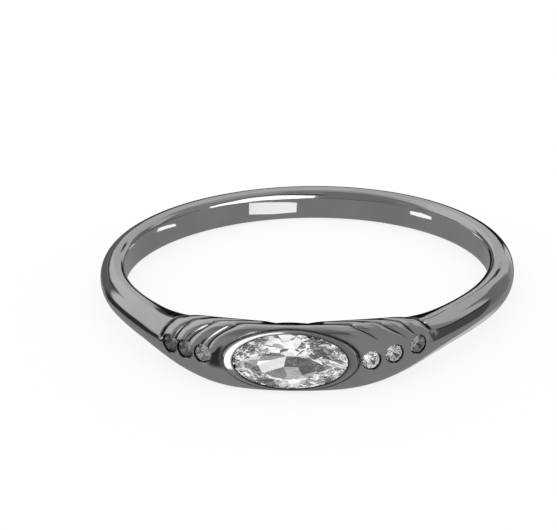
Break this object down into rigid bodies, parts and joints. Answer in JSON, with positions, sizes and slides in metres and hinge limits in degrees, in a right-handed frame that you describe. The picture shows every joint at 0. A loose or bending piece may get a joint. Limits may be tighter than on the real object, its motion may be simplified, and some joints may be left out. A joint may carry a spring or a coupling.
{
  "type": "finger ring",
  "caption": "slim polished metal finger ring that swells into a rippled head with a bezel-set oval clear stone and small accent stones in the shoulders",
  "frame": {"origin": "the centre of the finger hole", "axes": "+Z runs along the finger hole and up when the ring lies on its side, the oval stone faces -Y, +X runs along the oval stone's length"},
  "size_m": [0.0194, 0.0206, 0.0031],
  "materials": {
    "metal": "polished silver, lightly worn",
    "oval_stone": "clear, faceted",
    "accent_stone": "clear, faceted"
  },
  "bodies": {
    "root": {"band": "metal", "oval_stone": "oval_stone", "accent_stone_left_1": "accent_stone", "accent_stone_left_2": "accent_stone", "accent_stone_left_3": "accent_stone", "accent_stone_right_1": "accent_stone", "accent_stone_right_2": "accent_stone", "accent_stone_right_3": "accent_stone"}
  },
  "joints": []
}
